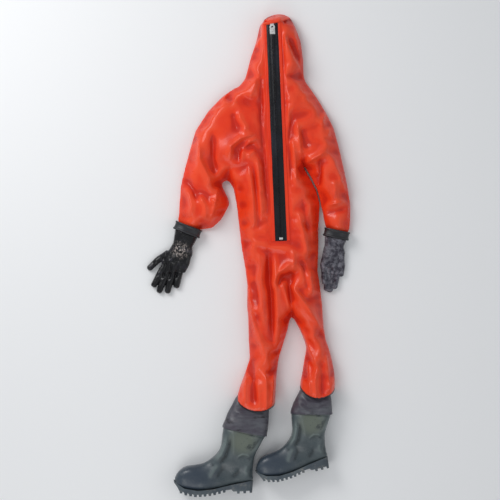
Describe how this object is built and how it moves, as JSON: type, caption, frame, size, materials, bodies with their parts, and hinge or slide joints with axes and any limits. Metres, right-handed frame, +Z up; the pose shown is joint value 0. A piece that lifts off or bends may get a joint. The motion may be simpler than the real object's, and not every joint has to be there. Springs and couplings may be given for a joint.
{
  "type": "chemical protective suit",
  "caption": "Gas-tight one-piece chemical protective suit laid flat, with hood, long front zip, fixed rubber gloves and safety boots.",
  "frame": {"origin": "on the floor under the middle of the whole suit, which lies on its back", "axes": "+Y from the boots to the hood, +Z up out of the chest, +X towards the wearer's left"},
  "size_m": [0.798, 1.8784, 0.1004],
  "materials": {
    "suit_fabric": "glossy orange-red coated fabric with soft folds",
    "zip_rubber": "black gas-tight zip strip, satin",
    "zip_metal": "bright plated slider, pull and stops",
    "cuff_rubber": "dark rubber band, satin",
    "ring_plastic": "hard ring, matt",
    "right_glove_rubber": "black rubber, glossy",
    "left_glove_rubber": "dark grey rubber with a chalky bloom",
    "boot_rubber": "grey-green rubber, satin",
    "sole_rubber": "grey rubber, matt",
    "bootleg_rubber": "dark grey rubber sleeve, satin",
    "insole_felt": "felt insole",
    "boot_steel": "plain steel"
  },
  "bodies": {
    "suit": {"hood_back": "suit_fabric", "hood_brow": "suit_fabric", "hood_front_left": "suit_fabric", "hood_front_right": "suit_fabric", "left_thigh_back": "suit_fabric", "left_thigh_front": "suit_fabric", "right_thigh_back": "suit_fabric", "right_thigh_front": "suit_fabric", "torso_back": "suit_fabric", "torso_front_left": "suit_fabric", "torso_front_right": "suit_fabric", "zip_bottom_stop": "zip_metal", "zip_chain_left": "zip_rubber", "zip_chain_right": "zip_rubber", "zip_tape_left": "zip_rubber", "zip_tape_right": "zip_rubber", "zip_top_stop": "zip_metal", "zip_weld_band_left": "suit_fabric", "zip_weld_band_right": "suit_fabric"},
    "zip_slider": {"zip_slider": "zip_metal", "zip_pull_pin": "zip_metal"},
    "zip_pull": {"zip_pull_ring": "zip_metal"},
    "right_sleeve": {"right_sleeve_front": "suit_fabric", "right_sleeve_back": "suit_fabric", "right_cuff_band": "cuff_rubber", "right_cuff_ring": "ring_plastic", "right_gauntlet": "right_glove_rubber"},
    "right_glove": {"right_glove": "right_glove_rubber"},
    "right_shin": {"right_shin_front": "suit_fabric", "right_shin_back": "suit_fabric", "right_leg_hem_band": "bootleg_rubber"},
    "right_boot": {"right_bootleg": "bootleg_rubber", "right_boot_upper": "boot_rubber", "right_boot_outsole": "sole_rubber", "right_boot_midsole_plate": "boot_steel", "right_boot_insole": "insole_felt", "right_boot_toe_cap": "boot_steel"},
    "left_sleeve": {"left_sleeve_front": "suit_fabric", "left_sleeve_back": "suit_fabric", "left_cuff_band": "cuff_rubber", "left_cuff_ring": "ring_plastic", "left_gauntlet": "left_glove_rubber"},
    "left_glove": {"left_glove": "left_glove_rubber"},
    "left_shin": {"left_shin_front": "suit_fabric", "left_shin_back": "suit_fabric", "left_leg_hem_band": "bootleg_rubber"},
    "left_boot": {"left_bootleg": "bootleg_rubber", "left_boot_upper": "boot_rubber", "left_boot_outsole": "sole_rubber", "left_boot_midsole_plate": "boot_steel", "left_boot_insole": "insole_felt", "left_boot_toe_cap": "boot_steel"}
  },
  "joints": [
    {"name": "zip_slide", "type": "slide", "parent": "suit", "child": "zip_slider", "axis": [0.0419, -0.9991, 0], "range_m": [0, 0.78]},
    {"name": "zip_pull_hinge", "type": "hinge", "parent": "zip_slider", "child": "zip_pull", "pos_m": [0.09182, 0.86852, 0.0878], "axis": [0.9991, 0.0419, 0], "range_deg": [0, 170]},
    {"name": "right_shoulder", "type": "hinge", "parent": "suit", "child": "right_sleeve", "pos_m": [-0.10401, 0.44624, 0.03], "axis": [0, 0, -1], "range_deg": [0, 30]},
    {"name": "left_shoulder", "type": "hinge", "parent": "suit", "child": "left_sleeve", "pos_m": [0.25499, 0.45824, 0.03], "axis": [0, 0, 1], "range_deg": [0, 30]},
    {"name": "right_wrist", "type": "hinge", "parent": "right_sleeve", "child": "right_glove", "pos_m": [-0.26401, 0.01024, 0.017], "axis": [0, 0, -1], "range_deg": [-15, 20]},
    {"name": "left_wrist", "type": "hinge", "parent": "left_sleeve", "child": "left_glove", "pos_m": [0.33499, 0.00424, 0.017], "axis": [0, 0, 1], "range_deg": [0, 20]},
    {"name": "right_knee", "type": "hinge", "parent": "suit", "child": "right_shin", "pos_m": [0.06999, -0.33376, 0.03], "axis": [0, 0, -1], "range_deg": [0, 20]},
    {"name": "left_knee", "type": "hinge", "parent": "suit", "child": "left_shin", "pos_m": [0.26399, -0.34876, 0.03], "axis": [0, 0, 1], "range_deg": [0, 20]},
    {"name": "right_ankle", "type": "hinge", "parent": "right_shin", "child": "right_boot", "pos_m": [0.03499, -0.50876, 0.046], "axis": [0, 0, -1], "range_deg": [0, 15]},
    {"name": "left_ankle", "type": "hinge", "parent": "left_shin", "child": "left_boot", "pos_m": [0.27099, -0.47776, 0.046], "axis": [0, 0, 1], "range_deg": [0, 15]}
  ]
}
